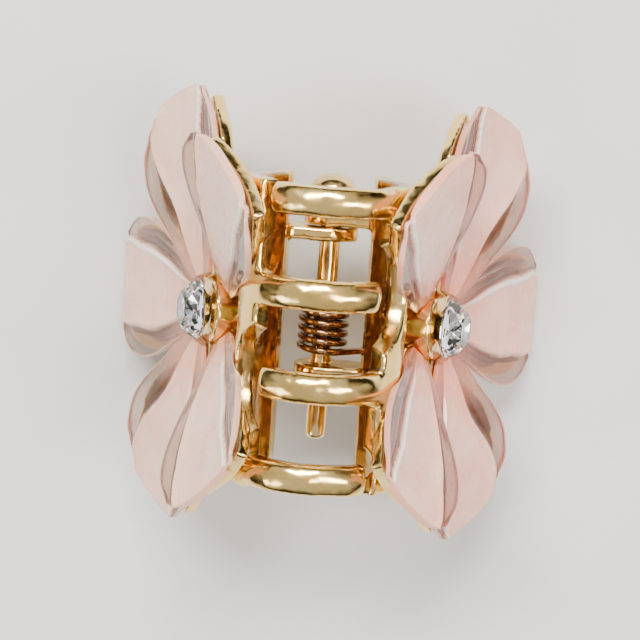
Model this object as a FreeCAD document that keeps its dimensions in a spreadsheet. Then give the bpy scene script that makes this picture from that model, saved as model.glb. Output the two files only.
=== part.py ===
"""Small cast metal claw clip with a five-petal flower on each half.

The clip lies on its handles with its teeth up. +X is to the right-hand half, +Y runs along the hinge pin
towards its domed head, and +Z is up. The origin is on the table, under the middle of the clip.
Two cast jaws turn on one pin. A torsion spring on the pin pushes the handles apart, so the teeth close.
Each jaw carries a cast flower plate, five moulded petals and one faceted stone.
"""
import FreeCAD, Part

import math
import os

import Sketcher
from FreeCAD import Matrix, Placement, Rotation, Vector

OUT_FOLDER = "parts"
LEFT, RIGHT = -1, 1

# alias, value in millimetres or degrees, meaning
DIMENSIONS = [
    ("pin_height", 15.4, "hinge axis above the table"),
    ("pin_radius", 0.95, "shaft of the hinge pin"),
    ("pin_tail", -11.3, "rounded end of the pin, along Y"),
    ("pin_tail_taper", 0.45, "taper of the pin's end"),
    ("pin_neck_radius", 1.4, "shoulder under the pin's head"),
    ("pin_neck_start", 9.75, "shoulder starts beyond the last ear"),
    ("pin_head_start", 10.35, "underside of the domed head"),
    ("pin_head_length", 2.6, "head along the pin"),
    ("pin_head_radius", 2.1, "head across"),
    ("pin_head_belt", 0.75, "underside of the head widens over this length"),
    ("pin_head_flat", 0.35, "small flat in the middle of the dome"),
    ("running_gap", 0.05, "radial clearance of the ears that turn"),
    ("grip_height", 24.7, "centre of the round space for the hair"),
    ("grip_radius", 5.5, "inner radius of the jaws"),
    ("jaw_thickness", 1.7, "cast wall of the jaws and teeth"),
    ("jaw_length", 26.0, "jaw wall along Y"),
    ("jaw_top", 140.0, "angle where the wall ends"),
    ("jaw_bottom", 228.0, "angle where the wall meets the waist"),
    ("tooth_pitch", 7.7, "spacing of the interleaved teeth"),
    ("tooth_width", 2.6, "tooth along Y"),
    ("tooth_relief", 0.06, "teeth stand back from the wall's inner face"),
    ("tooth_tip", 52.0, "angle of the tooth's tip, past the middle"),
    ("scallop_radius", 5.0, "hollow in the wall between two teeth"),
    ("scallop_height", 31.0, "centre of that hollow"),
    ("notch_radius", 1.5, "small hollow beside a tooth's root"),
    ("notch_height", 27.4, "centre of that hollow"),
    ("ear_thickness", 1.3, "hinge ear along Y"),
    ("ear_radius", 2.45, "hinge ear around the pin"),
    ("ear_gap", 0.1, "space between neighbouring ears"),
    ("ear_rear", 6.9, "inner face of the rear pair of ears"),
    ("ear_front", -4.2, "inner face of the front pair of ears"),
    ("waist_x", 3.6, "inner face of the waist from the middle"),
    ("waist_low", 15.3, "lower end of the waist"),
    ("waist_high", 20.3, "upper end of the waist"),
    ("waist_thickness", 1.7, "wall at the waist"),
    ("handle_width", 10.4, "handle along Y"),
    ("handle_thickness", 1.2, "handle wall"),
    ("handle_reach", 14.2, "end of the handle, along the bottom petal"),
    ("stem_width", 5.6, "stem behind the flower, along Y"),
    ("stem_low", 14.6, "underside of the stem"),
    ("stem_high", 20.4, "top of the stem"),
    ("flower_x", 10.55, "flower centre from the middle"),
    ("flower_y", 0.2, "flower centre along the pin"),
    ("flower_z", 18.5, "flower centre above the table"),
    ("flower_lean", 70.7, "angle of the flower's face from straight up"),
    ("petal_arch", 0.3, "each petal's middle stands before its chord"),
    ("top_angle", 49.0, "top petals, from the way to the teeth"),
    ("top_twist", -15.5, "top petals, turned about their length"),
    ("top_cup", 13.0, "top petals lean forward by this angle"),
    ("top_depth", 1.15, "top petals' roots behind the flower's centre"),
    ("side_angle", 108.0, "side petals, from the way to the teeth"),
    ("side_twist", -13.8, "side petals, turned about their length"),
    ("side_cup", 5.4, "side petals lean forward by this angle"),
    ("side_depth", -0.4, "side petals' roots behind the flower's centre"),
    ("bottom_cup", 14.2, "bottom petal leans forward by this angle"),
    ("bottom_depth", 0.9, "bottom petal's root behind the flower's centre"),
    ("root_radius", 3.05, "petal's root from the flower's axis"),
    ("neck_at", 4.6, "second section of the petal, from its root"),
    ("middle_at", 9.5, "third section, the widest"),
    ("shoulder_at", 14.0, "fourth section"),
    ("tip_at", 16.8, "blunt end of the petal"),
    ("top_short", 1.4, "top petals end this much sooner"),
    ("root_half", 1.4, "half width at the root"),
    ("neck_half", 4.1, "half width at the second section"),
    ("middle_half", 6.6, "half width at the third section"),
    ("shoulder_half", 6.2, "half width at the fourth section"),
    ("tip_half", 5.0, "half width of the blunt end"),
    ("panel_share", 0.6, "flat panel of a petal, share of its width"),
    ("panel_crown", 0.12, "the panel swells by this much"),
    ("panel_lift", 0.01, "panel's edges, lift for each square of the half width"),
    ("flap_lift", 0.018, "petal's edges, lift for each square of the half width"),
    ("edge_thickness", 0.6, "petal wall at its edges"),
    ("petal_thickness", 1.2, "petal wall at its middle"),
    ("seat_share", 0.9, "cast seat behind a petal, share of its width"),
    ("top_seat_share", 0.78, "cast seat behind a top petal, share of its width"),
    ("side_seat_lip", 1.9, "seat of a side petal is this much wider, on the side of the teeth"),
    ("seat_end", 15.2, "end of the cast seat, from the petal's root"),
    ("seat_thickness", 1.2, "cast seat behind each petal"),
    ("seat_gap", 0.16, "gap between a petal and its seat, filled with glue"),
    ("fit_gap", 0.04, "gap between parts that are fixed to each other"),
    ("hub_radius", 2.95, "round middle of the flower plate"),
    ("hub_back", 4.8, "back of the hub behind the flower's centre"),
    ("hub_front", 0.3, "face under the stone behind the flower's centre"),
    ("stone_radius", 2.7, "stone at its girdle"),
    ("stone_height", 2.5, "stone from its flat back to its table"),
    ("stone_girdle", 0.7, "height of the girdle"),
    ("stone_break_girdle", 1.15, "height where the second row of facets starts"),
    ("stone_table", 1.45, "table, centre to flat"),
    ("stone_break_table", 1.75, "second row of facets at the table"),
    ("stone_facets", 8.0, "facets in each row"),
    ("wire_radius", 0.33, "spring wire"),
    ("coil_radius", 2.0, "middle of the wire from the pin's axis"),
    ("coil_length", 6.0, "coil along the pin, wire centre to wire centre"),
    ("coil_turns", 7.0, "whole turns of the coil, before the part turn between its legs"),
    ("leg_length", 6.4, "straight leg of the spring"),
]

doc = FreeCAD.newDocument("ClawClip")
sheet = doc.addObject("Spreadsheet::Sheet", "Dims")


def fill_sheet():
    """Writes every driving dimension to the sheet: meaning, value and alias."""
    for row, (alias, value, meaning) in enumerate(DIMENSIONS, start=1):
        sheet.set(f"A{row}", meaning)
        sheet.set(f"B{row}", str(value))
        sheet.setAlias(f"B{row}", alias)
    doc.recompute()


def dim(alias):
    """The value of one cell of the sheet."""
    return float(sheet.get(alias))


def bind(thing, **properties):
    """Binds properties of a document object to formulas over the sheet's cells."""
    for name, formula in properties.items():
        thing.setExpression(name, over_sheet(formula))
    return thing


def over_sheet(formula):
    """Puts the sheet's name before each alias of a formula."""
    words = []
    for word in formula.split():
        sign = "-" if word.startswith("-") and len(word) > 1 else ""
        bare = word[len(sign):]
        words.append(sign + "Dims." + bare if bare in ALIASES else word)
    return " ".join(words)


ALIASES = {alias for alias, _, _ in DIMENSIONS}


# ---------------------------------------------------------------- sketches


def constrain(sketch, constraint, formula=None):
    """Adds a constraint, and binds its value to a formula over the sheet."""
    index = sketch.addConstraint(constraint)
    if formula:
        sketch.setExpression(f"Constraints[{index}]", over_sheet(formula))


def pin_point(sketch, edge, end, across, up):
    """Holds one end of an edge at a pair of formulas, measured from the sketch's origin."""
    point = sketch.getPoint(edge, end)
    constrain(sketch, Sketcher.Constraint("DistanceX", -1, 1, edge, end, point.x), across)
    constrain(sketch, Sketcher.Constraint("DistanceY", -1, 1, edge, end, point.y), up)


def outline(sketch, corners):
    """Draws a closed outline through the corners.

    A corner is (x formula, y formula) or (x formula, y formula, bulge), where bulge is a point (x, y)
    on the arc that leads from this corner to the next one. Every corner is bound to the sheet.
    """
    points = [Vector(value_of(c[0]), value_of(c[1]), 0) for c in corners]
    first = sketch.GeometryCount
    for i, corner in enumerate(corners):
        start, end = points[i], points[(i + 1) % len(points)]
        if len(corner) == 3:
            via = Vector(value_of(corner[2][0]), value_of(corner[2][1]), 0)
            sketch.addGeometry(Part.Arc(start, via, end), False)
        else:
            sketch.addGeometry(Part.LineSegment(start, end), False)
    for i, corner in enumerate(corners):
        edge, after = first + i, first + (i + 1) % len(corners)
        ends = {e: sketch.getPoint(edge, e) for e in (1, 2)}
        finish = 2 if (ends[2] - points[(i + 1) % len(points)]).Length < 1e-6 else 1
        begin_ends = {e: sketch.getPoint(after, e) for e in (1, 2)}
        begin = 1 if (begin_ends[1] - points[(i + 1) % len(points)]).Length < 1e-6 else 2
        sketch.addConstraint(Sketcher.Constraint("Coincident", edge, finish, after, begin))
        own = 1 if finish == 2 else 2
        pin_point(sketch, edge, own, corner[0], corner[1])
        if len(corner) == 3:
            radius = sketch.Geometry[edge].Radius
            constrain(sketch, Sketcher.Constraint("Radius", edge, radius))


def value_of(formula):
    """The number that a formula over the sheet's cells has now."""
    total, sign = 0.0, 1.0
    words = formula.split()
    product = None
    for word in words:
        if word in "+-" and len(word) == 1:
            total += sign * product
            product, sign = None, (1.0 if word == "+" else -1.0)
            continue
        if word == "*":
            continue
        minus = -1.0 if word.startswith("-") else 1.0
        bare = word.lstrip("-")
        number = minus * (dim(bare) if bare in ALIASES else float(bare))
        product = number if product is None else product * number
    return total + sign * product


def body_plane(body, role):
    """One of the body's own origin planes."""
    return next(p for p in body.Origin.OriginFeatures if p.Role == role)


def body_sketch(body, name, role, offset=Placement()):
    """A sketch on one of the body's own origin planes."""
    sketch = body.newObject("Sketcher::SketchObject", name)
    sketch.AttachmentSupport = [(body_plane(body, role), "")]
    sketch.MapMode = "FlatFace"
    sketch.AttachmentOffset = offset
    return sketch


# ---------------------------------------------------------------- solids


def add(kind, name, **formulas):
    """A Part primitive whose sizes are bound to the sheet."""
    return bind(doc.addObject(f"Part::{kind}", name), **formulas)


def fuse(name, shapes):
    made = doc.addObject("Part::MultiFuse", name)
    made.Shapes = shapes
    return made


def cut(name, base, tool):
    made = doc.addObject("Part::Cut", name)
    made.Base, made.Tool = base, tool
    return made


def along_y(angle=0.0):
    """Turns a primitive's axis from +Z to -Y, then its start by an angle in the XZ plane."""
    return Rotation(Vector(1, 0, 0), 90) * Rotation(Vector(0, 0, 1), angle)


def ring_sector(name, start, sweep, width, middle_y, bore="grip_radius"):
    """A piece of the jaw's round wall, around the hair's centre, from an angle over a sweep."""
    top = Vector(0, middle_y + value_of(width) / 2, dim("grip_height"))
    sizes = {"Height": width, "Angle": sweep}
    outer = add("Cylinder", name + "_outer", Radius="grip_radius + jaw_thickness", **sizes)
    inner = add("Cylinder", name + "_inner", Radius=bore, Height=width)
    outer.Placement = Placement(top, along_y(start))
    inner.Placement = Placement(top, along_y())
    return cut(name, outer, inner)


def tooth(name, side, middle_y):
    """One claw: the wall's arc carried over the middle, with a round tip."""
    start = dim("tooth_tip") if side == LEFT else 180 - dim("jaw_top")
    arc = ring_sector(name + "_arc", start, "jaw_top - tooth_tip", "tooth_width", middle_y,
                      "grip_radius + tooth_relief")
    tip_angle = math.radians(dim("tooth_tip"))
    middle_radius = dim("grip_radius") + (dim("jaw_thickness") + dim("tooth_relief")) / 2
    tip = add("Cylinder", name + "_tip", Radius="jaw_thickness * 0.5 - tooth_relief * 0.5", Height="tooth_width")
    tip.Placement = Placement(
        Vector(
            -side * middle_radius * math.cos(tip_angle),
            middle_y + dim("tooth_width") / 2,
            dim("grip_height") + middle_radius * math.sin(tip_angle),
        ),
        along_y(),
    )
    return fuse(name, [arc, tip])


def profile_bar(name, corners, width, middle_y=0.0):
    """A bar along Y whose section is an outline in the XZ plane."""
    sketch = doc.addObject("Sketcher::SketchObject", name + "_section")
    sketch.Placement = Placement(Vector(0, middle_y, 0), Rotation(Vector(1, 0, 0), 90))
    outline(sketch, corners)
    bar = doc.addObject("Part::Extrusion", name)
    bar.Base = sketch
    bar.DirMode = "Normal"
    bar.Solid = True
    bar.Symmetric = True
    return bind(bar, LengthFwd=width)


def ear(name, side, inner_face):
    """A hinge ear: a disc round the pin and a flat-topped web to the waist."""
    disc = add("Cylinder", name + "_disc", Radius="ear_radius", Height="ear_thickness")
    top = Vector(0, inner_face + dim("ear_thickness"), dim("pin_height"))
    disc.Placement = Placement(top, along_y())
    web = add("Box", name + "_web", Length="waist_x + 0.6", Width="ear_thickness", Height="ear_radius * 2")
    left_edge = -(dim("waist_x") + 0.6) if side == LEFT else 0.0
    web.Placement.Base = Vector(left_edge, inner_face, dim("pin_height") - dim("ear_radius"))
    return fuse(name, [disc, web])


def flower_axes(side):
    """The flower's own directions: up towards the teeth, and out of its face."""
    lean = math.radians(dim("flower_lean"))
    up = Vector(-side * math.cos(lean), 0, math.sin(lean))
    face = Vector(side * math.sin(lean), 0, math.cos(lean))
    return up, face


def frame(across, along, out, place):
    """Placement with its X along, its Y across and its Z out."""
    return Placement(Matrix(
        along.x, across.x, out.x, place.x,
        along.y, across.y, out.y, place.y,
        along.z, across.z, out.z, place.z,
        0, 0, 0, 1,
    ))


def flower_centre(side):
    return Vector(side * dim("flower_x"), dim("flower_y"), dim("flower_z"))


def face_frame(side, depth=0.0):
    """Placement on the flower's axis: Z out of its face, at a depth behind its centre."""
    up, face = flower_axes(side)
    return frame(face.cross(up), up, face, flower_centre(side) - face * depth)


def petal_frame(side, kind, hand):
    """Placement at a petal's root: X along it and Z out of its face.

    The kind is top, side or bottom. The hand is 1 towards the pin's head and -1 away from it.
    """
    up, face = flower_axes(side)
    angle, twist = (180.0, 0.0) if kind == "bottom" else (dim(kind + "_angle"), dim(kind + "_twist"))
    turn, tip = math.radians(hand * angle), math.radians(dim(kind + "_cup"))
    flat = up * math.cos(turn) + Vector(0, 1, 0) * math.sin(turn)
    along = flat * math.cos(tip) + face * math.sin(tip)
    out = face * math.cos(tip) - flat * math.sin(tip)
    root = flower_centre(side) + flat * dim("root_radius") - face * dim(kind + "_depth")
    turned = Placement(Vector(0, 0, 0), Rotation(Vector(1, 0, 0), side * hand * twist))
    return frame(out.cross(along), along, out, root).multiply(turned)


def petal_places(side):
    """Name and placement of each petal of a flower."""
    rows = [("rear_top", "top", 1), ("rear_side", "side", 1), ("bottom", "bottom", 1),
            ("front_side", "side", -1), ("front_top", "top", -1)]
    return [(name, petal_frame(side, kind, hand)) for name, kind, hand in rows]


def before_hub(name, side):
    """A large block in front of the hub's back, used to trim what stands behind it."""
    block = add("Box", name, Length="60", Width="60", Height="30")
    corner = Placement(Vector(-30, -30, 0), Rotation())
    block.Placement = face_frame(side, dim("hub_back") + dim("fit_gap")).multiply(corner)
    return block


PETAL_SECTIONS = ["root", "neck", "middle", "shoulder", "tip"]


def section_reach(name):
    """Distance of a petal's section from its root."""
    return 0.0 if name == "root" else dim(name + "_at")


def shortened(petal_name, reach):
    """Where the end of a petal, or of its seat, lies: the top petals are shorter."""
    return reach - (dim("top_short") if "top" in petal_name else 0.0)


def arch(reach):
    """How far a petal's section stands before the petal's chord."""
    tip = dim("tip_at")
    return max(0.0, 4 * dim("petal_arch") * reach * (tip - reach) / tip**2)


def half_width(reach):
    """Half width of a petal, straight between its sections."""
    reach = max(reach, 0.0)
    rows = [(section_reach(name), dim(name + "_half")) for name in PETAL_SECTIONS]
    for (x0, w0), (x1, w1) in zip(rows, rows[1:]):
        if reach <= x1:
            return w0 + (w1 - w0) * (reach - x0) / (x1 - x0)
    return rows[-1][1]


def station(reach):
    """Placement of a petal's cross section: its X runs across the petal and its Y out of the face."""
    axes = Rotation(Vector(0, 1, 0), Vector(0, 0, 1), Vector(1, 0, 0))
    return Placement(Vector(reach, 0, arch(reach)), axes)


def seat_lip(reach):
    """How far a side petal's seat stands past its own share of the width: most at its middle."""
    share = reach / dim("seat_end")
    return dim("side_seat_lip") * max(0.0, 4 * share * (1 - share))


def seat_lobe(name, place):
    """Cast seat that follows the back of one petal."""
    sections = []
    share = dim("top_seat_share") if name.endswith("top") else dim("seat_share")
    thick = dim("seat_thickness")
    middle = -dim("petal_thickness") - dim("seat_gap")
    to_teeth = 1 if place.Rotation.multVec(Vector(0, 1, 0)).z > 0 else -1
    for i, reach in enumerate((-1.6, 4.5, 9.0, 13.0, shortened(name, dim("seat_end")))):
        half = half_width(reach)
        rise = dim("flap_lift") + dim("edge_thickness") / half**2
        lip = seat_lip(reach) if name.endswith("side") else 0.0
        left = -half * share - (lip if to_teeth < 0 else 0.0)
        right = half * share + (lip if to_teeth > 0 else 0.0)
        sketch = doc.addObject("Sketcher::SketchObject", f"{name}_section{i}")
        outline(sketch, [
            (f"{left:.4f}", f"{middle + rise * left**2:.4f}", ("0", f"{middle:.4f}")),
            (f"{right:.4f}", f"{middle + rise * right**2:.4f}"),
            (f"{right:.4f}", f"{middle + rise * right**2 - thick:.4f}", ("0", f"{middle - thick:.4f}")),
            (f"{left:.4f}", f"{middle + rise * left**2 - thick:.4f}"),
        ])
        sketch.Placement = place.multiply(station(reach))
        sections.append(sketch)
    loft = doc.addObject("Part::Loft", name)
    loft.Sections = sections
    loft.Solid = True
    return loft


def handle_corners(side):
    """Section of waist and handle, from the jaw's wall to the handle's foot."""
    place = dict(petal_places(side))["bottom"]
    thick = dim("handle_thickness")
    under = dim("petal_thickness") + dim("seat_gap") + dim("seat_thickness") + 3 * dim("fit_gap")

    def behind(reach, depth):
        """A point behind the bottom seat of the flower plate."""
        point = place.multVec(Vector(reach, 0, arch(reach) - under - depth))
        return f"{point.x:.4f}", f"{point.z:.4f}"

    def mirrored(x_formula, z_formula):
        if side == RIGHT:
            return x_formula, z_formula
        return " - ".join(f"-{w}" if i == 0 else w for i, w in enumerate(x_formula.split(" + "))), z_formula

    end = dim("handle_reach")
    outer = [behind(reach, 0.0) for reach in (end + 4, end * 0.7, end * 0.35, 0.3)]
    inner = [behind(reach, thick) for reach in (end * 0.35, end * 0.7, end + 4)]
    return [
        mirrored("waist_x + 0.7", "waist_high"),
        mirrored("waist_x", "waist_high - 2.5"),
        mirrored("waist_x", "waist_low"),
        inner[0],
        inner[1],
        inner[2],
        outer[0],
        outer[1],
        outer[2],
        outer[3],
        mirrored("waist_x + waist_thickness", "waist_low + 2.2"),
        mirrored("waist_x + 1.6", "waist_high - 1.0"),
    ]


def waist_corners(side):
    """Section of the waist alone, which runs the whole length of the jaw."""
    corners = handle_corners(side)
    sign = "" if side == RIGHT else "-"
    return corners[:3] + [(f"{sign}{dim('waist_x') + 1.6:.3f}", "waist_low + 0.4")] + corners[-2:]


def jaw(label, side, tooth_middles, ear_faces, bore, scallop, notch):
    """One cast jaw: wall, two teeth, waist, handle, two ears and the stem behind the flower."""
    wall_start = dim("jaw_top") if side == LEFT else 180 - dim("jaw_bottom")
    pieces = [ring_sector(label + "_wall", wall_start, "jaw_bottom - jaw_top", "jaw_length", 0.0)]
    for i, middle in enumerate(tooth_middles):
        pieces.append(tooth(f"{label}_tooth{i}", side, middle))
    pieces.append(profile_bar(label + "_waist", waist_corners(side), "jaw_length"))
    pieces.append(profile_bar(label + "_handle", handle_corners(side), "handle_width"))
    for i, face in enumerate(ear_faces):
        pieces.append(ear(f"{label}_ear{i}", side, face))
    stem = add("Box", label + "_stem", Length="6.5", Width="stem_width", Height="stem_high - stem_low")
    stem_left = -11.0 if side == LEFT else 4.5
    stem.Placement.Base = Vector(stem_left, dim("flower_y") - dim("stem_width") / 2, dim("stem_low"))
    pieces.append(cut(label + "_stem_cut", stem, before_hub(label + "_stem_trim", side)))
    body = fuse(label + "_body", pieces)
    hole = add("Cylinder", label + "_bore", Radius=bore, Height="40")
    hole.Placement = Placement(Vector(0, 20, dim("pin_height")), along_y())
    grip = add("Cylinder", label + "_grip", Radius="grip_radius", Height="60")
    grip.Placement = Placement(Vector(0, 30, dim("grip_height")), along_y())
    # everything below the table is cut off, which leaves a flat foot on the handle
    floor = add("Box", label + "_floor", Length="80", Width="80", Height="20")
    floor.Placement.Base = Vector(-40, -40, -20)
    room = add("Cylinder", label + "_hub_room", Radius="hub_radius + fit_gap", Height="20")
    room.Placement = face_frame(side, dim("hub_back") + dim("fit_gap"))
    tools = [hole, grip, floor, room]
    for kind, middle in (("scallop", scallop), ("notch", notch)):
        hollow = add("Cylinder", f"{label}_{kind}", Radius=f"{kind}_radius", Height="8")
        edge = Vector(-10 if side == LEFT else 2, middle, dim(f"{kind}_height"))
        hollow.Placement = Placement(edge, Rotation(Vector(0, 1, 0), 90))
        tools.append(hollow)
    made = cut(label, body, fuse(label + "_tools", tools))
    made.Label = label
    return made


def wall_clearance(name):
    """The jaws' outer wall with a small gap, taken out of what is fixed behind and beside it."""
    wall = add("Cylinder", name, Radius="grip_radius + jaw_thickness + fit_gap",
               Height="jaw_length + 0.2")
    wall_end = Vector(0, dim("jaw_length") / 2 + 0.1, dim("grip_height"))
    wall.Placement = Placement(wall_end, along_y())
    return wall


def flower_plate(label, side):
    """Cast plate behind the flower: a round hub that carries the stone, and a seat under each petal."""
    hub = add("Cylinder", label + "_hub", Radius="hub_radius", Height="hub_back - hub_front")
    hub.Placement = face_frame(side, dim("hub_back"))
    pieces = [hub]
    for name, place in petal_places(side):
        pieces.append(seat_lobe(f"{label}_{name}", place))
    made = cut(label, fuse(label + "_seats", pieces), wall_clearance(label + "_wall"))
    made.Label = label
    return made


def petal(label, place):
    """One moulded petal: a panel with a raised flap along each side, lofted along a shallow arch."""
    body = doc.addObject("PartDesign::Body", label)
    sketches = []
    for name in PETAL_SECTIONS:
        reach, half = section_reach(name), name + "_half"
        if name == "tip":
            reach = shortened(label, reach)
        offset = Placement(Vector(0, arch(reach), reach), Rotation())
        sketch = body_sketch(body, f"{label}_{name}", "YZ_Plane", offset)
        outline(sketch, [
            (f"-{half}", f"{half} * {half} * flap_lift"),
            (f"-{half} * panel_share", f"{half} * {half} * panel_lift", ("0", "panel_crown")),
            (f"{half} * panel_share", f"{half} * {half} * panel_lift"),
            (half, f"{half} * {half} * flap_lift"),
            (half, f"{half} * {half} * flap_lift - edge_thickness", ("0", "-petal_thickness")),
            (f"-{half}", f"{half} * {half} * flap_lift - edge_thickness"),
        ])
        sketch.Visibility = False
        sketches.append(sketch)
    blade = body.newObject("PartDesign::AdditiveLoft", label + "_blade")
    blade.Profile = sketches[0]
    blade.Sections = sketches[1:]
    body.Tip = blade
    body.Placement = place
    if "top" not in label:
        body.Label = label
        return body
    body.Label = label + "_body"
    made = cut(label + "_trimmed", body, wall_clearance(label + "_wall"))
    made.Label = label
    return made


def stone(label, side):
    """A flat-backed faceted stone: a round blank with two rows of facets cut round its crown."""
    body = doc.addObject("PartDesign::Body", label)
    round_sketch = body_sketch(body, label + "_round", "XY_Plane")
    round_sketch.addGeometry(Part.Circle(Vector(0, 0, 0), Vector(0, 0, 1), dim("stone_radius")), False)
    round_sketch.addConstraint(Sketcher.Constraint("Coincident", 0, 3, -1, 1))
    constrain(round_sketch, Sketcher.Constraint("Radius", 0, dim("stone_radius")), "stone_radius")
    blank = body.newObject("PartDesign::Pad", label + "_blank")
    blank.Profile = round_sketch
    bind(blank, Length="stone_height")
    half_step = 180 / dim("stone_facets")
    rows = [("main", "stone_girdle", "stone_table", 0.0),
            ("break", "stone_break_girdle", "stone_break_table", half_step)]
    for name, girdle, table, turn in rows:
        # the plane YZ turned about the stone's axis; its sketch X runs outwards
        offset = Placement(Vector(0, 0, 0), Rotation(Vector(0, 1, 0), turn))
        wedge = body_sketch(body, f"{label}_{name}_wedge", "XZ_Plane", offset)
        outline(wedge, [
            ("stone_radius", girdle), ("stone_radius + 2", girdle), ("stone_radius + 2", "stone_height + 1"),
            (table, "stone_height + 1"), (table, "stone_height"),
        ])
        facet = body.newObject("PartDesign::Pocket", f"{label}_{name}_facet")
        facet.Profile = wedge
        facet.Type = "ThroughAll"
        facet.Midplane = True
        doc.recompute()
        pattern = body.newObject("PartDesign::PolarPattern", f"{label}_{name}_row")
        pattern.Originals = [facet]
        pattern.Axis = (next(a for a in body.Origin.OriginFeatures if a.Role == "Z_Axis"), [""])
        pattern.Angle = 360
        bind(pattern, Occurrences="stone_facets")
        body.Tip = pattern
    body.Placement = face_frame(side, dim("hub_front") - dim("fit_gap"))
    body.Label = label
    return body


def dome_point(share):
    """A point on the head's round dome: share 0 is the dome's rim and 1 is its flat middle."""
    rim, rise = dim("pin_head_radius"), dim("pin_head_length") - dim("pin_head_belt")
    ball = (rim**2 + rise**2) / (2 * rise)
    rim_angle, flat_angle = math.asin(rim / ball), math.asin(dim("pin_head_flat") / ball)
    angle = rim_angle + (flat_angle - rim_angle) * share
    top = dim("pin_head_start") + dim("pin_head_length")
    return f"{ball * math.sin(angle):.5f}", f"{top - ball * (1 - math.cos(angle)):.5f}"


def hinge_pin(label):
    """Pin in one piece: a shaft with a tapered end, a shoulder and a domed head."""
    body = doc.addObject("PartDesign::Body", label)
    half = body_sketch(body, label + "_half", "XY_Plane")
    flat_top = dome_point(1.0)
    outline(half, [
        ("0", "pin_tail"),
        ("pin_radius * 0.6", "pin_tail"),
        ("pin_radius", "pin_tail + pin_tail_taper"),
        ("pin_radius", "pin_neck_start"),
        ("pin_neck_radius", "pin_neck_start"),
        ("pin_neck_radius", "pin_head_start"),
        ("pin_head_radius", "pin_head_start + pin_head_belt", dome_point(0.5)),
        flat_top,
        ("0", flat_top[1]),
    ])
    turned = body.newObject("PartDesign::Revolution", label + "_turned")
    turned.Profile = half
    turned.ReferenceAxis = (half, ["V_Axis"])
    turned.Angle = 360
    body.Placement = Placement(Vector(0, 0, dim("pin_height")), Rotation())
    body.Label = label
    return body


def leg_lines():
    """For each leg of the spring: its foot on the coil and its direction along the handle's inner face."""
    axis = Vector(0, 0, dim("pin_height"))
    lines = {}
    for side in (LEFT, RIGHT):
        corners = handle_corners(side)
        ends = [Vector(value_of(corners[i][0]), 0, value_of(corners[i][1])) for i in (2, 3)]
        along = (ends[1] - ends[0]).normalize()
        to_face = Vector(along.z, 0, -along.x)
        if to_face.x * side < 0:
            to_face = to_face * -1
        lines[side] = (axis + to_face * dim("coil_radius"), along)
    return lines


def torsion_spring(label):
    """Coil round the pin, with a straight leg along the inner face of each handle."""
    lines = leg_lines()
    axis_height, length, coil = dim("pin_height"), dim("coil_length"), dim("coil_radius")
    angles = {
        side: math.degrees(math.atan2(foot.z - axis_height, foot.x)) for side, (foot, _) in lines.items()
    }
    turns = dim("coil_turns") + ((angles[LEFT] - angles[RIGHT]) % 360) / 360
    place = Placement(Vector(0, length / 2, axis_height), along_y(angles[LEFT]))
    helix = add("Helix", label + "_line", Radius="coil_radius", Height="coil_length",
                Pitch=f"coil_length * {1 / turns:.6f}")
    helix.LocalCoord = "Left-handed"
    helix.Placement = place
    rim = add("Circle", label + "_rim", Radius="wire_radius")
    rim.Placement = place.multiply(Placement(Vector(coil, 0, 0), Rotation(Vector(1, 0, 0), 90)))
    doc.recompute()
    wound = doc.addObject("Part::Sweep", label + "_coil")
    wound.Sections = [rim]
    wound.Spine = (helix, [f"Edge{i + 1}" for i in range(len(helix.Shape.Edges))])
    wound.Solid = True
    wound.Frenet = True
    pieces = [wound]
    for side, end in ((LEFT, 1), (RIGHT, -1)):
        foot, along = lines[side]
        foot = foot + Vector(0, end * length / 2, 0)
        word = "left" if side == LEFT else "right"
        leg = add("Cylinder", f"{label}_{word}_leg", Radius="wire_radius * 0.97", Height="leg_length")
        leg.Placement = Placement(foot, Rotation(Vector(0, 0, 1), along))
        knee = add("Sphere", f"{label}_{word}_knee", Radius="wire_radius * 1.06")
        knee.Placement.Base = foot
        pieces += [leg, knee]
    made = fuse(label, pieces)
    made.Label = label
    return made


def build():
    """Makes every sub-part and returns them."""
    fill_sheet()
    pitch = dim("tooth_pitch")
    thick, gap = dim("ear_thickness"), dim("ear_gap")
    rear, front = dim("ear_rear"), dim("ear_front")
    made = [
        jaw("left_jaw", LEFT, (0.5 * pitch, -1.5 * pitch), (rear, front - 2 * thick - gap), "pin_radius",
            scallop=-0.5 * pitch, notch=0.9 * pitch),
        jaw("right_jaw", RIGHT, (1.5 * pitch, -0.5 * pitch), (rear + thick + gap, front - thick),
            "pin_radius + running_gap", scallop=0.5 * pitch, notch=-1.35 * pitch),
        hinge_pin("hinge_pin"),
        torsion_spring("torsion_spring"),
    ]
    for word, side in (("left", LEFT), ("right", RIGHT)):
        made.append(flower_plate(f"{word}_flower_plate", side))
        for name, place in petal_places(side):
            made.append(petal(f"{word}_petal_{name}", place))
        made.append(stone(f"{word}_stone", side))
    return made


def check_and_write(subparts):
    """Stops on a failed feature or a bad shape, then writes one STEP file for each sub-part."""
    doc.recompute()
    for thing in doc.Objects:
        if "Invalid" in thing.State or "Error" in thing.State:
            raise RuntimeError(f"{thing.Name} failed to recompute")
    for thing in subparts:
        shape = thing.Shape
        if shape.isNull() or not shape.isValid() or not shape.Solids:
            raise RuntimeError(f"{thing.Label} has no valid solid")
    os.makedirs(OUT_FOLDER, exist_ok=True)
    for thing in subparts:
        thing.Shape.exportStep(os.path.join(OUT_FOLDER, thing.Label + ".step"))
        box = thing.Shape.BoundBox
        print(f"{thing.Label}: solids {len(thing.Shape.Solids)}, volume {thing.Shape.Volume:.1f}, "
              f"x {box.XMin:.1f}..{box.XMax:.1f}, y {box.YMin:.1f}..{box.YMax:.1f}, "
              f"z {box.ZMin:.1f}..{box.ZMax:.1f}")


check_and_write(build())
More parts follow.
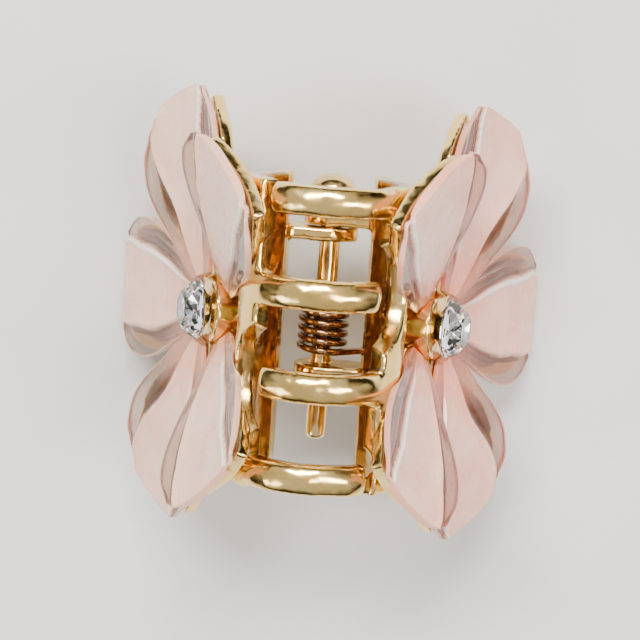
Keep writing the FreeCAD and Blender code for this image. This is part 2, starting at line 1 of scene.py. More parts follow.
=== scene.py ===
"""Claw clip with a resin flower on each half, seen from above with its teeth up.

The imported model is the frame. Every visible piece is rebuilt in mesh code around it: cast jaws and flower
plates with soft edges, cupped petals with clear flaps, faceted stones, a riveted pin and a wound spring.
Lengths are in metres, in the model's frame, unless a name ends in _mm.
"""
import math
import random

import bmesh
import bpy
from mathutils import Matrix, Vector, noise
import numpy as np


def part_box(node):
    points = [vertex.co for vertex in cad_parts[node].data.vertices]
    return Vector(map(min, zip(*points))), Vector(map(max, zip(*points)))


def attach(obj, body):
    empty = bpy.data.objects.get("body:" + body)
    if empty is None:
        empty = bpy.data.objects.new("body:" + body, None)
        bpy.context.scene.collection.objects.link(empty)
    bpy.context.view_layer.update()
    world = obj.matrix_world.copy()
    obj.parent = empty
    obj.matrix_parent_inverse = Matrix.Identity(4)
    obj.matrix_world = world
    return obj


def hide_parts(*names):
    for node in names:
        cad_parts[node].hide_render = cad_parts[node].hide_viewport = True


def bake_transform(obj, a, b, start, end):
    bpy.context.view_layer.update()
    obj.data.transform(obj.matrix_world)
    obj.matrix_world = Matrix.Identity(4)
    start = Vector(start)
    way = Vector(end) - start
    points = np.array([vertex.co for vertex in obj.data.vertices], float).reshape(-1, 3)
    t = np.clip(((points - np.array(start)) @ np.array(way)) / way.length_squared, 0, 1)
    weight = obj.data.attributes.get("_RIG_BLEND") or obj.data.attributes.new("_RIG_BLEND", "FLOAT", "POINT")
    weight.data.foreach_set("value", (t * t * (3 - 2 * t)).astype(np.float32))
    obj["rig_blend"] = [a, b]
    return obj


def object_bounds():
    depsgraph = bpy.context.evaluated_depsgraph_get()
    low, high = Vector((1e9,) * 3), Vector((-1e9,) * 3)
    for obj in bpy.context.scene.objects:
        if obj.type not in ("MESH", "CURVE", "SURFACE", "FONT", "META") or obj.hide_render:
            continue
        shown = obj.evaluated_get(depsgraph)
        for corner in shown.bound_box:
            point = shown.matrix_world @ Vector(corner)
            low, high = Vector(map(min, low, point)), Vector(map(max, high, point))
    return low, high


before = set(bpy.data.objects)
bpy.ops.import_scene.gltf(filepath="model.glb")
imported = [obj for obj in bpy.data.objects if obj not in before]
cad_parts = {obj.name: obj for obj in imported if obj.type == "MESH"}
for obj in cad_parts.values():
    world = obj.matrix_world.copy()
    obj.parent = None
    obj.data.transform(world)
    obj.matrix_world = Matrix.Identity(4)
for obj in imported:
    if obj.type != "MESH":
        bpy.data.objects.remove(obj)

MM = 0.001
CAD_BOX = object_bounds()
SEED = 11
LEFT, RIGHT = -1, 1
SIDES = (("left", LEFT), ("right", RIGHT))

# the same dimensions as the part's source, in millimetres and degrees
PIN_HEIGHT = 15.4
COIL_RADIUS, WIRE_RADIUS, COIL_LENGTH = 2.0, 0.33, 6.0
FLOWER_CENTRE = (10.55, 0.2, 18.5)
FLOWER_LEAN = 70.7
ROOT_RADIUS = 3.05
PETAL_LENGTH, PETAL_ARCH, TOP_SHORT = 16.8, 0.3, 1.4
FLAP_LIFT, PANEL_LIFT, PANEL_CROWN = 0.018, 0.01, 0.12
# kind of petal: angle from the way to the teeth, twist about its length, lean forward, root's depth
PETAL_KINDS = {
    "top": (49.0, -15.5, 13.0, 1.15),
    "side": (108.0, -13.8, 5.4, -0.4),
    "bottom": (180.0, 0.0, 14.2, 0.9),
}
# name, kind, hand: 1 towards the pin's head and -1 away from it
PETALS = (
    ("rear_top", "top", 1),
    ("rear_side", "side", 1),
    ("bottom", "bottom", 1),
    ("front_side", "side", -1),
    ("front_top", "top", -1),
)
# distance from the petal's root, half width
WIDTH_KNOTS = ((0.0, 1.4), (2.0, 2.75), (4.6, 4.15), (7.0, 5.6), (9.5, 6.55), (11.8, 6.6), (14.0, 6.2),
               (15.4, 5.8), (16.8, 5.0))
HUB_FRONT = 0.3
# the jaws' wall: height of its axis, outer radius with a little clearance, half its length along the pin
JAW_AXIS, JAW_WALL, JAW_HALF = 24.7, 7.26, 13.2
# teeth: distances of their middles from the clip's middle, half width
TOOTH_MIDDLES, TOOTH_HALF = (3.85, 11.55), 1.3

# numbers of quads in a petal's face, along and across
PETAL_ROWS, PETAL_COLUMNS = 60, 48


# ---------------------------------------------------------------- node helpers


class Nodes:
    """A short way to build a material's node tree."""

    def __init__(self, name):
        self.material = bpy.data.materials.new(name)
        self.material.use_nodes = True
        self.tree = self.material.node_tree
        self.tree.nodes.clear()
        self.output = self.tree.nodes.new("ShaderNodeOutputMaterial")

    def add(self, kind, **values):
        """A node with its properties and unlinked inputs set, and its linked inputs joined."""
        node = self.tree.nodes.new("ShaderNode" + kind)
        for key, value in values.items():
            if hasattr(node, key):
                setattr(node, key, value)
                continue
            socket = node.inputs[int(key[1:])] if key[0] == "i" and key[1:].isdigit() else node.inputs[key]
            if isinstance(value, bpy.types.NodeSocket):
                self.tree.links.new(value, socket)
            else:
                socket.default_value = value
        return node

    def object_place(self):
        return self.add("TexCoord").outputs["Object"]

    def attribute(self, name):
        """A number stored at each point of the mesh."""
        return self.add("Attribute", attribute_name=name).outputs["Fac"]

    def noise(self, coords, scale, detail=4.0, rough=0.5, distortion=0.0):
        return self.add("TexNoise", Vector=coords, Scale=scale, Detail=detail, Roughness=rough,
                        Distortion=distortion).outputs["Fac"]

    def ramp(self, factor, *stops):
        """Colour ramp: stops are (position, colour)."""
        node = self.add("ValToRGB", Fac=factor)
        points = node.color_ramp.elements
        while len(points) < len(stops):
            points.new(0.5)
        for point, (where, colour) in zip(points, stops):
            point.position, point.color = where, (*colour, 1.0)
        return node.outputs["Color"]

    def between(self, factor, low, high, out_low, out_high):
        """The factor's range low to high, stretched to out_low to out_high."""
        return self.add("MapRange", i0=factor, i1=low, i2=high, i3=out_low, i4=out_high).outputs[0]

    def mix(self, factor, a, b):
        """Blend of two colours."""
        node = self.tree.nodes.new("ShaderNodeMix")
        node.data_type = "RGBA"
        for socket, value in ((node.inputs[0], factor), (node.inputs[6], a), (node.inputs[7], b)):
            if isinstance(value, bpy.types.NodeSocket):
                self.tree.links.new(value, socket)
            else:
                socket.default_value = (*value, 1.0) if isinstance(value, tuple) else value
        return node.outputs[2]

    def math(self, operation, a, b):
        node = self.add("Math", operation=operation)
        for socket, value in zip(node.inputs, (a, b)):
            if isinstance(value, bpy.types.NodeSocket):
                self.tree.links.new(value, socket)
            else:
                socket.default_value = value
        return node.outputs[0]

    def bump(self, height, strength, distance, under=None):
        values = {"Height": height, "Strength": strength, "Distance": distance}
        if under is not None:
            values["Normal"] = under
        return self.add("Bump", **values).outputs["Normal"]

    def close(self, shader):
        self.tree.links.new(shader.outputs[0], self.output.inputs["Surface"])
        return self.material


def gold_material(name, light, deep, shade_colour, cast):
    """Gold plating: pale on worn edges, with painted shade, a dark brown, in hollows and on the jaws' inner
    faces, which an attribute marks.
    """
    n = Nodes(name)
    where = n.object_place()
    clouds = n.noise(where, 260.0, 5.0, 0.6, 0.3)
    fine = n.noise(where, 1500.0, 4.0, 0.6)
    tone = n.ramp(clouds, (0.3, deep), (0.62, light))
    edge = n.add("NewGeometry").outputs["Pointiness"]
    worn = n.between(edge, 0.51, 0.6, 0.0, 0.6)
    # painted shade: dark brown in hollows and on the marked inner faces
    hollow_shade = n.between(edge, 0.38, 0.495, 0.85, 0.0)
    inner_shade = n.attribute("inner_shade")
    colour = n.mix(worn, tone, tuple(min(1.0, c * 1.1 + 0.08) for c in light))
    colour = n.mix(hollow_shade, colour, shade_colour)
    colour = n.mix(n.between(inner_shade, 0.0, 1.0, 0.0, 0.82), colour, shade_colour)
    rough = n.between(n.noise(where, 700.0, 4.0, 0.6), 0.3, 0.75, 0.1, 0.26)
    low = n.bump(clouds, 0.3, 0.00007 * cast)
    high = n.bump(fine, 0.25, 0.000015 * cast, low)
    return n.close(n.add("BsdfPrincipled", **{
        "Base Color": colour, "Metallic": 1.0, "Roughness": rough, "Normal": high,
    }))


def resin_material(name, milk, deep, clear, blush):
    """Milky resin. Attributes: milk is 1 in the cloudy panel and 0 in the clear flaps, lip 1 at the rim,
    root 1 where the petal starts, and the fourth 1 on the crest beside a flap, where a painted highlight
    whitens it.
    """
    n = Nodes(name)
    where = n.object_place()
    cloud = n.noise(where, 260.0, 4.0, 0.55, 0.4)
    streak = n.noise(n.add("Mapping", Vector=where, Scale=(1.0, 0.45, 1.0)).outputs[0], 900.0, 3.0, 0.5)
    speck = n.noise(where, 3200.0, 2.0, 0.5)
    cloudy, lip, root, crest = (n.attribute(name) for name in ("milk", "lip", "root", "ridge_highlight"))
    pale = n.mix(n.between(cloud, 0.35, 0.68, 0.0, 1.0), milk, deep)
    pale = n.mix(n.between(root, 0.0, 1.0, 0.0, 0.85), pale, blush)
    # painted highlight: the crest beside a flap is whitened
    pale = n.mix(n.between(crest, 0.2, 0.9, 0.0, 0.75), pale, (0.98, 0.92, 0.87))
    pale = n.mix(n.between(lip, 0.0, 1.0, 0.0, 0.35), pale, blush)
    wave = n.bump(cloud, 0.3, 0.0001)
    soft = n.bump(speck, 0.1, 0.00002, wave)
    polish = n.between(crest, 0.2, 0.9, 1.0, 0.3)
    rough = n.math("MULTIPLY", n.between(streak, 0.3, 0.7, 0.16, 0.36), polish)
    body = n.add("BsdfPrincipled", **{
        "Base Color": pale, "Roughness": rough, "Normal": soft,
        "Subsurface Weight": 0.3, "Subsurface Radius": (1.0, 0.5, 0.38), "Subsurface Scale": 0.001,
        "Coat Weight": 0.35, "Coat Roughness": 0.08, "IOR": 1.5,
    })
    through = n.add("BsdfPrincipled", **{
        "Base Color": clear, "Roughness": 0.04, "Normal": soft,
        "Transmission Weight": 1.0, "IOR": 1.35,
    })
    amount = n.math("MAXIMUM", n.between(cloudy, 0.0, 1.0, 0.06, 0.92), n.between(lip, 0.0, 1.0, 0.0, 0.75))
    amount = n.math("MAXIMUM", amount, n.between(root, 0.0, 1.0, 0.0, 0.5))
    return n.close(n.add("MixShader", i0=amount, i1=through.outputs[0], i2=body.outputs[0]))


def crystal_material(name):
    n = Nodes(name)
    where = n.object_place()
    rough = n.between(n.noise(where, 900.0, 3.0, 0.5), 0.3, 0.8, 0.0, 0.04)
    return n.close(n.add("BsdfPrincipled", **{
        "Base Color": (0.97, 0.98, 1.0, 1.0), "Roughness": rough, "Transmission Weight": 1.0, "IOR": 1.62,
    }))


def foil_material(name):
    n = Nodes(name)
    where = n.object_place()
    tone = n.ramp(n.noise(where, 800.0, 3.0, 0.5), (0.3, (0.62, 0.64, 0.68)), (0.7, (0.93, 0.94, 0.96)))
    return n.close(n.add("BsdfPrincipled", **{
        "Base Color": tone, "Metallic": 1.0, "Roughness": 0.06,
    }))


def floor_material():
    n = Nodes("floor")
    where = n.object_place()
    tone = n.ramp(n.noise(where, 60.0, 4.0, 0.5), (0.3, (0.62, 0.615, 0.61)), (0.7, (0.66, 0.655, 0.65)))
    return n.close(n.add("BsdfPrincipled", **{"Base Color": tone, "Roughness": 0.85}))


# the fourth colour of each gold is the dark brown of its painted shade
GOLD = gold_material("cast_gold", (0.96, 0.71, 0.27), (0.84, 0.52, 0.13), (0.26, 0.11, 0.02), 1.0)
PLATE = gold_material("plate_gold", (0.94, 0.69, 0.27), (0.8, 0.5, 0.13), (0.24, 0.11, 0.02), 0.8)
# painted shade: the pin's gold is a darker copy and the spring's a deep brown one, for the shade deep
# between the halves
PIN = gold_material("pin_gold", (0.85, 0.62, 0.28), (0.62, 0.4, 0.14), (0.2, 0.1, 0.03), 0.5)
WIRE = gold_material("spring_wire", (0.3, 0.17, 0.08), (0.18, 0.09, 0.04), (0.06, 0.03, 0.015), 0.3)
# painted light and shade: the one resin in two copies, the left paler and the right pinker and deeper, for
# the different light on the two flowers
RESIN = {
    LEFT: resin_material("left_resin", (0.9, 0.62, 0.48), (0.86, 0.5, 0.38), (0.6, 0.48, 0.41, 1.0),
                         (0.85, 0.36, 0.22)),
    RIGHT: resin_material("right_resin", (0.93, 0.56, 0.44), (0.88, 0.42, 0.32), (0.62, 0.42, 0.36, 1.0),
                          (0.88, 0.27, 0.16)),
}
CRYSTAL, FOIL = crystal_material("crystal"), foil_material("foil")


# ---------------------------------------------------------------- object helpers


def link(name, mesh, material, smooth=True):
    """Puts a mesh in the scene as an object."""
    piece = bpy.data.objects.new(name, mesh)
    bpy.context.scene.collection.objects.link(piece)
    mesh.materials.clear()
    mesh.materials.append(material)
    for face in mesh.polygons:
        face.use_smooth = smooth
    return piece


def apply_modifiers(piece):
    """Replaces the piece's mesh by its evaluated one."""
    graph = bpy.context.evaluated_depsgraph_get()
    solid = bpy.data.meshes.new_from_object(piece.evaluated_get(graph))
    old = piece.data
    piece.modifiers.clear()
    piece.data = solid
    bpy.data.meshes.remove(old)
    return piece


def settle(piece, body, slot, *nodes):
    """The piece rides on its body and stands for the model's nodes."""
    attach(piece, body)
    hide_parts(*nodes)
    return piece


def flower_axes(side):
    lean = math.radians(FLOWER_LEAN)
    up = Vector((-side * math.cos(lean), 0, math.sin(lean)))
    face = Vector((side * math.sin(lean), 0, math.cos(lean)))
    return up, face


def frame_matrix(along, across, out, place):
    """4x4 matrix with those axes, in metres; the vectors are in millimetres."""
    rows = [[along[i], across[i], out[i], place[i]] for i in range(3)]
    return Matrix(rows + [[0, 0, 0, 1]])


def flower_centre(side):
    return Vector((side * FLOWER_CENTRE[0], FLOWER_CENTRE[1], FLOWER_CENTRE[2]))


def face_frame(side, depth=0.0):
    up, face = flower_axes(side)
    return frame_matrix(face.cross(up), up, face, flower_centre(side) - face * depth)


def petal_frame(side, kind, hand):
    up, face = flower_axes(side)
    angle, twist, cup, depth = PETAL_KINDS[kind]
    turn, tip = math.radians(hand * angle), math.radians(cup)
    flat = up * math.cos(turn) + Vector((0, 1, 0)) * math.sin(turn)
    along = flat * math.cos(tip) + face * math.sin(tip)
    out = face * math.cos(tip) - flat * math.sin(tip)
    root = flower_centre(side) + flat * ROOT_RADIUS - face * depth
    turned = Matrix.Rotation(side * hand * math.radians(twist), 4, "X")
    return frame_matrix(along, out.cross(along), out, root) @ turned


# ---------------------------------------------------------------- petals


def smooth_between(knots, x):
    """Catmull-Rom through knots of (position, value)."""
    for i in range(len(knots) - 1):
        x0, y0 = knots[i]
        x1, y1 = knots[i + 1]
        if x > x1 and i < len(knots) - 2:
            continue
        before = knots[i - 1] if i else (x0 - (x1 - x0), y0 - (y1 - y0))
        after = knots[i + 2] if i + 2 < len(knots) else (x1 + (x1 - x0), y1 + (y1 - y0))
        t = (x - x0) / (x1 - x0)
        m0 = (y1 - before[1]) / (x1 - before[0]) * (x1 - x0)
        m1 = (after[1] - y0) / (after[0] - x0) * (x1 - x0)
        a, b = 2 * t**3 - 3 * t**2 + 1, t**3 - 2 * t**2 + t
        return a * y0 + b * m0 + (3 * t**2 - 2 * t**3) * y1 + (t**3 - t**2) * m1
    return knots[-1][1]


def smoothstep(low, high, x):
    """0 at low, 1 at high, smooth between; low may be the larger."""
    t = min(1.0, max(0.0, (x - low) / (high - low)))
    return t * t * (3 - 2 * t)


def trimmed(at):
    """The point, moved out of the jaw's wall if it lies in it. The effect fades past the wall's ends."""
    away = math.hypot(at.x, at.z - JAW_AXIS)
    if away >= JAW_WALL:
        return at
    scale = 1 + (JAW_WALL / away - 1) * smoothstep(JAW_HALF + 2.4, JAW_HALF, abs(at.y))
    return Vector((at.x * scale, at.y, JAW_AXIS + (at.z - JAW_AXIS) * scale))


def sew(bm, grid):
    """Faces of a closed sheet from its two layers of points, grid[layer, row, column]."""
    def face(*corners):
        bm.faces.new([grid[corner] for corner in corners])

    for i in range(PETAL_ROWS):
        for j in range(PETAL_COLUMNS):
            face((0, i, j), (0, i + 1, j), (0, i + 1, j + 1), (0, i, j + 1))
            face((1, i, j + 1), (1, i + 1, j + 1), (1, i + 1, j), (1, i, j))
    for i in range(PETAL_ROWS):
        for j in (0, PETAL_COLUMNS):
            face((0, i, j), (1, i, j), (1, i + 1, j), (0, i + 1, j))
    for j in range(PETAL_COLUMNS):
        for i in (0, PETAL_ROWS):
            face((0, i, j), (1, i, j), (1, i, j + 1), (0, i, j + 1))


def finish_mesh(bm, name):
    """Mesh data from the points and faces, with its normals outwards."""
    bmesh.ops.recalc_face_normals(bm, faces=bm.faces)
    mesh = bpy.data.meshes.new(name)
    bm.to_mesh(mesh)
    bm.free()
    return mesh


def petal_mesh(name, place, kind, rng):
    """A cupped petal: cloudy panel down the middle, a clear flap on each side, a thin lip round it.

    A point of the petal has a share s of its length, 0 to 1, and a place v across it, -1 to 1.
    """
    length = PETAL_LENGTH - (TOP_SHORT if kind == "top" else 0.0)
    corner = 1.1 if kind == "side" else 0.75
    wobble = rng.uniform(-0.12, 0.12)
    creases = {-1: 0.5 + rng.uniform(-0.05, 0.05), 1: 0.5 + rng.uniform(-0.05, 0.05)}
    # 1 or -1: the edge that looks away from the teeth
    away = -1 if (place.to_3x3() @ Vector((0, 1, 0))).z > 0 else 1
    bm = bmesh.new()
    numbers = bm.verts.layers.float
    milk, lip, root, ridge_highlight = (numbers.new(layer) for layer in ("milk", "lip", "root", "ridge_highlight"))

    def crease_at(s, v):
        """Where the panel's edge lies across the petal. On a side petal it meets the rim before the tip."""
        start = creases[1 if v > 0 else -1]
        if kind == "side" and v * away > 0:
            return start - 0.1 + 0.55 * smoothstep(0.3, 0.95, s)
        return start + 0.12 * s + 0.16 * smoothstep(0.7, 1.0, s)

    def bead_at(s, side, crease):
        """The raised bead along the panel's edge: 1 on its crest."""
        return math.exp(-((side - crease + 0.05) / 0.05) ** 2) * smoothstep(0.05, 0.3, s)

    def front(s, v, half):
        """Height of the front face."""
        crease, side = min(crease_at(s, v), 0.97), abs(v)
        panel, edge = half * half * PANEL_LIFT, half * half * FLAP_LIFT
        inside = min(side, crease) / crease
        height = panel * inside**2 + PANEL_CROWN * (1 - inside**2)
        if side > crease:
            height += (edge - panel) * (side - crease) / (1 - crease)
        open_flap = smoothstep(0.97, 0.85, crease)
        valley = math.exp(-((side - crease - 0.06) / 0.07) ** 2) * smoothstep(0.05, 0.4, s) * open_flap
        return height + 0.24 * bead_at(s, side, crease) * open_flap - 0.2 * valley

    def wall(s, v):
        """Thickness: less towards the edges, the root and the tip."""
        thick = 1.15 - 0.6 * smoothstep(0.3, 0.95, abs(v))
        return thick * (0.8 + 0.2 * smoothstep(0.0, 0.12, s)) * (1.0 - 0.35 * smoothstep(0.88, 1.0, s))

    def point(s, v, layer):
        """Where the point lies on the front (layer 0) or the back (layer 1), in millimetres."""
        # the blunt end is a shallow curve with rounded corners
        blunt = smoothstep(0.72, 1.0, s)
        reach = length * s - blunt * (0.35 * v * v + corner * abs(v) ** 6) + 0.3 * s * wobble * v
        half = smooth_between(WIDTH_KNOTS, length * s)
        height = 4 * PETAL_ARCH * s * (1 - s) + front(s, v, half)
        if layer:
            height -= wall(s, v)
        height += 0.08 * noise.noise(Vector((s * 3.1, v * 1.7, wobble * 40)))
        return trimmed(place @ Vector((reach, half * v * (1 - 0.05 * blunt * abs(v) ** 4), height)))

    grid = {}
    for layer in (0, 1):
        for i in range(PETAL_ROWS + 1):
            s = i / PETAL_ROWS
            for j in range(PETAL_COLUMNS + 1):
                v = -1 + 2 * j / PETAL_COLUMNS
                vert = bm.verts.new(point(s, v, layer) * MM)
                crease, side = crease_at(s, v), abs(v)
                vert[milk] = 1 - smoothstep(crease - 0.01, crease + 0.03, side)
                vert[lip] = max(smoothstep(0.965, 0.99, side), smoothstep(0.985, 0.998, s))
                vert[root] = 1 - smoothstep(0.0, 0.5, s)
                # the painted highlight's mask: the crest on the front face, on one side only
                vert[ridge_highlight] = bead_at(s, side, crease) if v * away < 0 and not layer else 0.0
                grid[layer, i, j] = vert
    sew(bm, grid)
    return finish_mesh(bm, name)


def round_rim(piece):
    """Softens the petal's rim."""
    bevel = piece.modifiers.new("rim", "BEVEL")
    bevel.width, bevel.segments, bevel.limit_method = 0.0002, 3, "ANGLE"
    bevel.angle_limit = math.radians(50)
    return apply_modifiers(piece)


def make_petals():
    rng = random.Random(SEED)
    for word, side in SIDES:
        for name, kind, hand in PETALS:
            node = f"{word}_petal_{name}"
            mesh = petal_mesh(node + "_moulded", petal_frame(side, kind, hand), kind, rng)
            piece = round_rim(link(node + "_moulded", mesh, RESIN[side]))
            settle(piece, f"{word}_half", f"{word}_resin", node)


# ---------------------------------------------------------------- castings


def tooth_crown(p):
    """How far a tooth's outer face is moved out: proud at its middle, fallen off at its edges."""
    share = min(abs(abs(p.y) - middle) for middle in TOOTH_MIDDLES) / TOOTH_HALF
    away = math.hypot(p.x, p.z - JAW_AXIS)
    outside = smoothstep(6.2, 7.0, away) * smoothstep(28.0, 30.0, p.z) * smoothstep(1.3, 1.1, share)
    return (0.16 - 0.42 * min(share, 1.0) ** 2) * outside


def casting(node, name, body, slot, material, voxel, smooth_steps, wobble):
    """A casting made from the model's own node: remeshed, its edges rounded, its skin slightly uneven.

    An attribute is 1 on the face that grips the hair, where the gold gets painted shade.
    """
    piece = link(name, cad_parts[node].data.copy(), material)
    remesh = piece.modifiers.new("skin", "REMESH")
    remesh.mode, remesh.voxel_size = "VOXEL", voxel
    soft = piece.modifiers.new("soft", "SMOOTH")
    soft.factor, soft.iterations = 0.5, smooth_steps
    apply_modifiers(piece)
    moved, inner_shade = [], []
    for vert in piece.data.vertices:
        p = vert.co / MM
        lump = noise.noise(p * 0.42) * 0.5 + noise.noise(p * 1.0) * 0.35
        at = vert.co + vert.normal * (lump - 0.1) * wobble
        if node.endswith("jaw"):
            at += Vector((p.x, 0, p.z - JAW_AXIS)).normalized() * tooth_crown(p) * MM
        at.z = max(at.z, CAD_BOX[0][2])
        moved.extend(at)
        # painted shade: 1 on the inner face near the jaws' axis, 0 outside
        inner_shade.append(smoothstep(JAW_WALL - 0.7, JAW_WALL - 1.5, math.hypot(p.x, p.z - JAW_AXIS)))
    piece.data.vertices.foreach_set("co", moved)
    piece.data.attributes.new("inner_shade", "FLOAT", "POINT").data.foreach_set("value", inner_shade)
    piece.data.update()
    for face in piece.data.polygons:
        face.use_smooth = True
    return settle(piece, body, slot, node)


def make_castings():
    for word, _ in SIDES:
        body, jaw, plate = f"{word}_half", f"{word}_jaw", f"{word}_flower_plate"
        casting(jaw, f"{word}_jaw_cast", body, "cast_gold", GOLD, 0.00016, 16, 0.00013)
        casting(plate, f"{word}_plate_cast", body, "plate_gold", PLATE, 0.00018, 10, 0.00012)


# ---------------------------------------------------------------- stones


def ring(count, radius, height, turn=0.0):
    """Corners of a regular polygon."""
    step = 2 * math.pi / count
    return [Vector((radius * math.cos(step * (i + turn)), radius * math.sin(step * (i + turn)), height))
            for i in range(count)]


def convex(name, points, place):
    """Convex solid through the points, placed in the frame."""
    bm = bmesh.new()
    verts = [bm.verts.new((place @ p) * MM) for p in points]
    bmesh.ops.convex_hull(bm, input=verts)
    bmesh.ops.dissolve_limit(bm, angle_limit=math.radians(1.0), verts=bm.verts, edges=bm.edges)
    return finish_mesh(bm, name)


def make_stones():
    for word, side in SIDES:
        node, body = f"{word}_stone", f"{word}_half"
        place = face_frame(side, HUB_FRONT - 0.04)
        crown = (ring(8, 1.5, 2.46, 0.5) + ring(8, 2.2, 1.85, 0.0) + ring(16, 2.62, 1.05, 0.5)
                 + ring(16, 2.62, 0.9, 0.5) + ring(8, 1.2, 0.12, 0.0))
        piece = link(node + "_cut", convex(node + "_cut", crown, place), CRYSTAL, smooth=False)
        settle(piece, body, "crystal", node)
        cup = foil_cup(node + "_foil", place)
        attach(cup, body)


def foil_cup(name, place):
    """Mirror foil that wraps the stone's faceted back."""
    sides = 16
    # radius and height of each ring on the inside and on the outside
    inside, outside = ((2.66, 0.93), (1.27, 0.07), (0.02, 0.05)), ((2.68, 0.9), (1.29, 0.03), (0.02, 0.01))
    bm = bmesh.new()
    layers = [[[bm.verts.new((place @ p) * MM) for p in ring(sides, radius, height, 0.5)]
               for radius, height in rows] for rows in (inside, outside)]
    for layer, rings in enumerate(layers):
        for a, b in zip(rings, rings[1:]):
            for i in range(sides):
                quad = [a[i], a[(i + 1) % sides], b[(i + 1) % sides], b[i]]
                bm.faces.new(quad[::-1] if layer else quad)
    for k in (0, 2):
        front, back = layers[0][k], layers[1][k]
        for i in range(sides):
            quad = [front[i], back[i], back[(i + 1) % sides], front[(i + 1) % sides]]
            bm.faces.new(quad if k == 0 else quad[::-1])
    return link(name, finish_mesh(bm, name), FOIL, smooth=False)


# ---------------------------------------------------------------- pin and spring


def lathe(name, profile, material, segments=64):
    """Turned piece about the pin's axis; the profile is (y, radius) from one end to the other."""
    bm = bmesh.new()
    rings = []
    for y, radius in profile:
        row = []
        for i in range(segments):
            a = 2 * math.pi * i / segments
            dent = 1 + 0.012 * noise.noise(Vector((math.cos(a) * 1.4, math.sin(a) * 1.4, y * 1.1)))
            at = Vector((radius * dent * math.cos(a), y, PIN_HEIGHT + radius * dent * math.sin(a)))
            row.append(bm.verts.new(at * MM))
        rings.append(row)
    for a, b in zip(rings, rings[1:]):
        for i in range(segments):
            bm.faces.new([a[i], a[(i + 1) % segments], b[(i + 1) % segments], b[i]])
    bm.faces.new(rings[0][::-1])
    bm.faces.new(rings[-1])
    return link(name, finish_mesh(bm, name), material)


def make_pin():
    """Shaft, a pressed shoulder, and a rivet head that is a little flattened on top."""
    profile = [(-11.27, 0.3), (-11.2, 0.62), (-11.02, 0.84), (-10.7, 0.93)]
    profile += [(-10.7 + 20.4 * i / 24, 0.935) for i in range(1, 25)]
    profile += [(9.78, 1.0), (9.82, 1.34), (10.0, 1.38), (10.32, 1.36), (10.4, 1.5), (10.62, 1.82)]
    profile += [(10.9, 2.0), (11.1, 2.06), (11.35, 2.04)]
    for i in range(1, 10):
        a = math.radians(8 + i * 8.6)
        profile.append((11.35 + 1.52 * math.sin(a), 2.04 * math.cos(a) ** 0.8))
    piece = lathe("hinge_pin_turned", profile, PIN)
    settle(piece, "left_half", "pin_gold", "hinge_pin")


def leg_line(side):
    """Foot and direction of a spring leg, read from the model's own spring."""
    low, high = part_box("torsion_spring")
    reach_x = (high[0] - low[0]) / 2 / MM - WIRE_RADIUS * 0.6
    drop = PIN_HEIGHT - low[2] / MM - WIRE_RADIUS * 0.75
    # the leg is a tangent of the coil that ends at this point
    end = Vector((side * reach_x, 0, -drop))
    distance, bearing = end.length, math.atan2(end.z, end.x)
    spread = math.acos(COIL_RADIUS / distance)
    angle = bearing + side * spread
    return Vector((COIL_RADIUS * math.cos(angle), 0, COIL_RADIUS * math.sin(angle))), end, angle


def make_spring():
    """Close-wound coil whose two legs lie on the handles; it twists between the two halves."""
    left_foot, left_end, start = leg_line(LEFT)
    right_foot, right_end, finish = leg_line(RIGHT)
    sweep = 7 * 2 * math.pi + (start - finish) % (2 * math.pi)
    steps = int(sweep / math.radians(10))
    points = []
    for i in range(15):
        at = left_end.lerp(left_foot, i / 15)
        points.append(Vector((at.x, COIL_LENGTH / 2, at.z)))
    for i in range(steps + 1):
        share = i / steps
        angle = start - sweep * share
        y = COIL_LENGTH / 2 - COIL_LENGTH * share
        # the turns aren't quite the same size
        radius = COIL_RADIUS * (1 + 0.012 * math.sin(angle * 0.37 + 1.1))
        points.append(Vector((radius * math.cos(angle), y, radius * math.sin(angle))))
    for i in range(1, 16):
        at = right_foot.lerp(right_end, i / 15)
        points.append(Vector((at.x, -COIL_LENGTH / 2, at.z)))
    curve = bpy.data.curves.new("torsion_spring_line", "CURVE")
    curve.dimensions = "3D"
    spline = curve.splines.new("POLY")
    spline.points.add(len(points) - 1)
    for point, at in zip(spline.points, points):
        point.co = (at.x * MM, at.y * MM, (at.z + PIN_HEIGHT) * MM, 1.0)
    curve.bevel_depth, curve.bevel_resolution, curve.use_fill_caps = WIRE_RADIUS * MM * 0.98, 5, True
    line = bpy.data.objects.new("torsion_spring_line", curve)
    bpy.context.scene.collection.objects.link(line)
    mesh = bpy.data.meshes.new_from_object(line.evaluated_get(bpy.context.evaluated_depsgraph_get()))
    bpy.data.objects.remove(line)
    bpy.data.curves.remove(curve)
    mesh.name = "torsion_spring_wound"
    piece = link("torsion_spring_wound", mesh, WIRE)
    half, height = COIL_LENGTH / 2 * MM, PIN_HEIGHT * MM
    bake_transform(piece, "left_half", "right_half", start=(0, half, height), end=(0, -half, height))
    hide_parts("torsion_spring")


# ---------------------------------------------------------------- stage, light and camera


def make_stage():
    bm = bmesh.new()
    bmesh.ops.create_grid(bm, x_segments=8, y_segments=8, size=2.0)
    mesh = bpy.data.meshes.new("floor")
    bm.to_mesh(mesh)
    bm.free()
    floor = link("floor", mesh, floor_material())
    floor.location.z = CAD_BOX[0][2] - 0.00002


def area_light(name, place, target, size, power, colour=(1, 1, 1)):
    data = bpy.data.lights.new(name, "AREA")
    data.shape, data.size, data.size_y = "RECTANGLE", size[0], size[1]
    data.energy, data.color = power, colour
    lamp = bpy.data.objects.new(name, data)
    bpy.context.scene.collection.objects.link(lamp)
    lamp.location = place
    lamp.rotation_euler = (Vector(target) - Vector(place)).to_track_quat("-Z", "Y").to_euler()


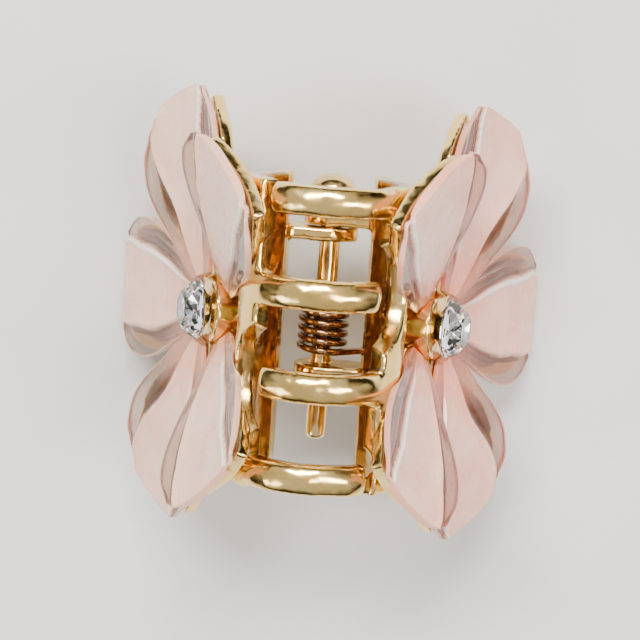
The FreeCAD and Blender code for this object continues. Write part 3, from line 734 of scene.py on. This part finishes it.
def make_world():
    """A room that is bright overhead and dark low down, so polished metal has contrast."""
    world = bpy.data.worlds.new("room")
    world.use_nodes = True
    tree = world.node_tree
    tree.nodes.clear()
    output, ground, ramp, wave, where, split, sway, height = (
        tree.nodes.new("ShaderNode" + kind) for kind in (
            "OutputWorld", "Background", "ValToRGB", "TexNoise", "TexCoord", "SeparateXYZ", "Math", "Math"))
    wave.inputs["Scale"].default_value, wave.inputs["Detail"].default_value = 2.2, 1.0
    points = ramp.color_ramp.elements
    points[0].position, points[0].color = 0.62, (0.03, 0.026, 0.022, 1)
    points[1].position, points[1].color = 0.86, (1.0, 0.97, 0.92, 1)
    # the height of the direction, unsettled by the noise
    sway.operation, sway.inputs[1].default_value = "MULTIPLY", 0.9
    height.operation = "MULTIPLY_ADD"
    height.inputs[1].default_value = 0.7
    tree.links.new(where.outputs["Generated"], split.inputs[0])
    tree.links.new(where.outputs["Generated"], wave.inputs["Vector"])
    tree.links.new(wave.outputs["Fac"], sway.inputs[0])
    tree.links.new(split.outputs["Z"], height.inputs[0])
    tree.links.new(sway.outputs[0], height.inputs[2])
    tree.links.new(height.outputs[0], ramp.inputs["Fac"])
    tree.links.new(ramp.outputs["Color"], ground.inputs["Color"])
    ground.inputs["Strength"].default_value = 0.7
    tree.links.new(ground.outputs[0], output.inputs["Surface"])
    bpy.context.scene.world = world


def make_lights():
    area_light("window", (-0.08, 0.24, 0.42), (0, 0, 0.02), (0.3, 0.1), 5.0, (1.0, 0.96, 0.9))
    area_light("skylight", (0.24, -0.02, 0.44), (0, 0, 0.02), (0.12, 0.3), 2.4, (1.0, 0.97, 0.93))
    area_light("fill", (-0.4, -0.3, 0.3), (0, 0, 0.02), (0.2, 0.2), 0.8, (1.0, 0.96, 0.92))
    make_world()


def make_camera():
    """The photograph's viewing angle: from above, leaning towards the pin's head."""
    tilt, yaw, roll = (math.radians(a) for a in (8.36, 1.23, 4.58))
    distance, shift_x, shift_y = 165.82, -0.28, 0.07
    pivot = Vector((0, 0, 18.5))
    look = Matrix.Rotation(-roll, 3, "Z") @ Matrix.Rotation(-yaw, 3, "Y") @ Matrix.Rotation(tilt, 3, "X")
    back = look.transposed()
    data = bpy.data.cameras.new("camera")
    data.sensor_width, data.lens = 36.0, 11.3 * distance / 640 * 36.0
    data.clip_start, data.clip_end = 0.005, 20
    camera = bpy.data.objects.new("camera", data)
    bpy.context.scene.collection.objects.link(camera)
    place = (pivot + back @ Vector((shift_x, shift_y, distance))) * MM
    camera.matrix_world = Matrix.Translation(place) @ back.to_4x4()
    bpy.context.scene.camera = camera


make_petals()
make_castings()
make_stones()
make_pin()
make_spring()
make_stage()
make_lights()
make_camera()
